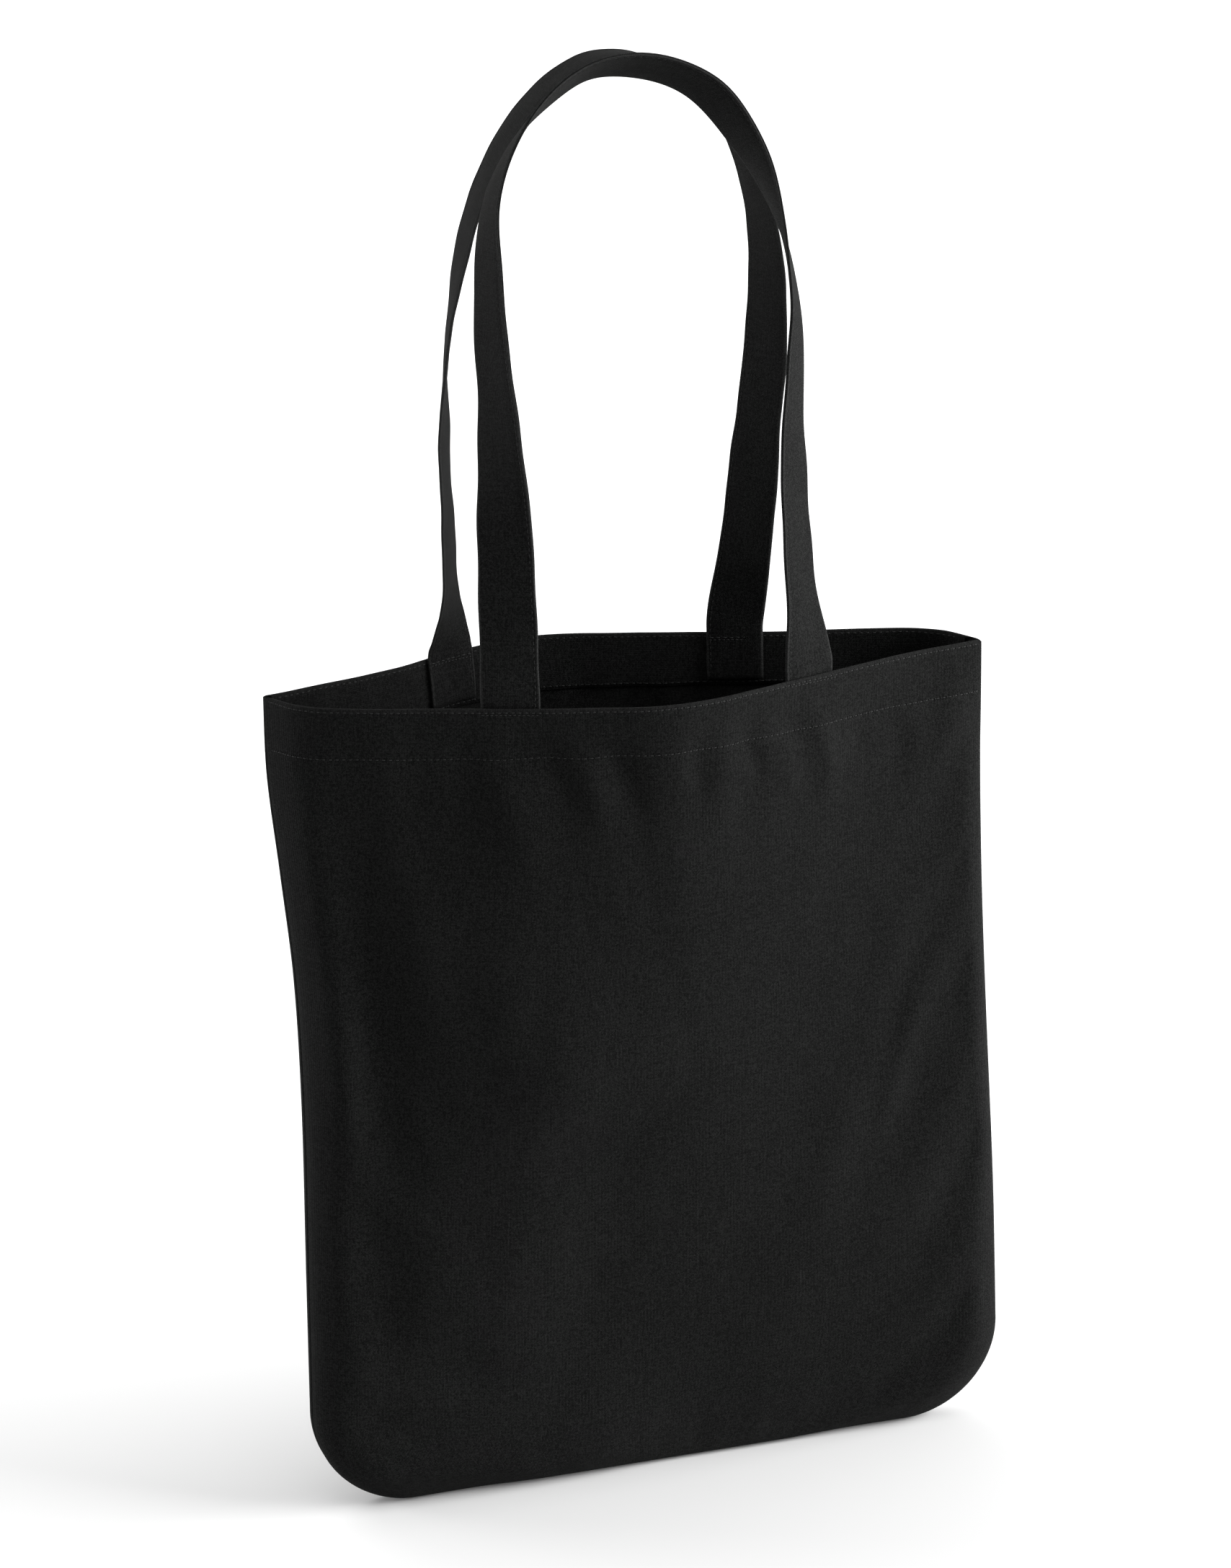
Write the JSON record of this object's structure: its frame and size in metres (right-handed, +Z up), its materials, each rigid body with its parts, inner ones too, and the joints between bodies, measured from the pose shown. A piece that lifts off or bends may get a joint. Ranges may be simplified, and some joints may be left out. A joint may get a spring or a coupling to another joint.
{
  "type": "canvas tote bag",
  "caption": "Flat-sewn black canvas tote bag standing open, with rounded lower corners, a stitched hem and long shoulder-length strap handles that swing down on either side.",
  "frame": {"origin": "on the floor under the middle of the standing bag", "axes": "+X to the right seen from the front, the front panel faces -Y, +Z up out of the mouth"},
  "size_m": [0.3654, 0.1332, 0.7186],
  "materials": {
    "bag_canvas": "plain-weave cotton canvas, dyed black, matt",
    "strap_canvas": "folded and stitched cotton canvas strap, matt",
    "thread": "polyester sewing thread, slight sheen"
  },
  "bodies": {
    "bag": {"front_panel": "bag_canvas", "back_panel": "bag_canvas", "side_and_bottom_seam_allowance": "bag_canvas", "seam_lockstitch_thread": "thread", "seam_overlock_thread": "thread", "front_rim_stitching": "thread", "front_hem_stitching": "thread", "front_hem_bobbin_thread": "thread", "front_handle_left_end": "strap_canvas", "front_handle_left_bartack": "thread", "front_handle_right_end": "strap_canvas", "front_handle_right_bartack": "thread", "back_rim_stitching": "thread", "back_hem_stitching": "thread", "back_hem_bobbin_thread": "thread", "back_handle_left_end": "strap_canvas", "back_handle_left_bartack": "thread", "back_handle_right_end": "strap_canvas", "back_handle_right_bartack": "thread"},
    "front_handle": {"front_handle_loop": "strap_canvas", "front_handle_edge_stitching": "thread"},
    "back_handle": {"back_handle_loop": "strap_canvas", "back_handle_edge_stitching": "thread"}
  },
  "joints": [
    {"name": "front_handle_swing", "type": "hinge", "parent": "bag", "child": "front_handle", "pos_m": [-0.00294, -0.04943, 0.4214], "axis": [0.9994, -0.0356, 0], "range_deg": [0, 170]},
    {"name": "back_handle_swing", "type": "hinge", "parent": "bag", "child": "back_handle", "pos_m": [-0.00996, 0.05123, 0.4214], "axis": [-0.994, 0.1094, 0], "range_deg": [0, 170]}
  ]
}
